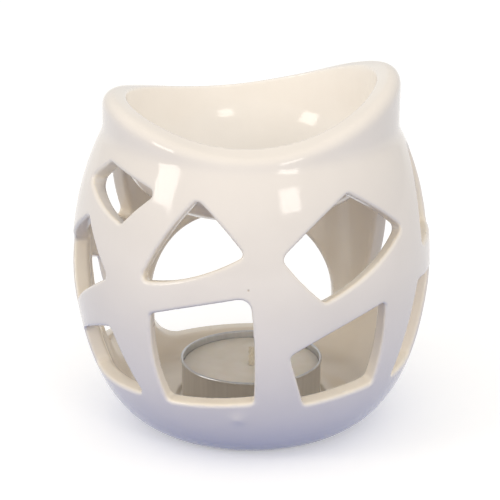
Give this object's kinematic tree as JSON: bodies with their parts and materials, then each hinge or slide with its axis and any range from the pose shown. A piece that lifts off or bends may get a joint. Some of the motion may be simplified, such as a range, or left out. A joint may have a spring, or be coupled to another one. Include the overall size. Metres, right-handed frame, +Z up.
{
  "type": "essential oil burner",
  "caption": "Round glazed ceramic oil burner with irregular cut-out windows, a dish with a wavy rolled lip on top and a tealight inside that warms it.",
  "frame": {"origin": "centre of the foot, on the surface that the burner stands on", "axes": "+Z up; -Y to the front that the picture shows; +X to the viewer's right, towards the lip's higher peak"},
  "size_m": [0.096, 0.096, 0.0963],
  "materials": {
    "pot_glaze": "glossy ivory glaze on slip-cast earthenware",
    "dish_glaze": "glossy ivory glaze on slip-cast earthenware",
    "cup_aluminium": "pressed bright foil",
    "wax": "poured paraffin wax, waxy sheen",
    "wick_cotton": "braided cotton, waxed",
    "sustainer_steel": "tinned pressed steel"
  },
  "bodies": {
    "burner": {"pierced_pot": "pot_glaze", "oil_dish": "dish_glaze"},
    "tealight": {"tealight_cup": "cup_aluminium", "tealight_wax": "wax", "tealight_wick": "wick_cotton", "wick_sustainer": "sustainer_steel"}
  },
  "joints": [
    {"name": "tealight_slide", "type": "slide", "parent": "burner", "child": "tealight", "axis": [-0.0783, 0.8954, 0.4384], "range_m": [0, 0.044]}
  ]
}
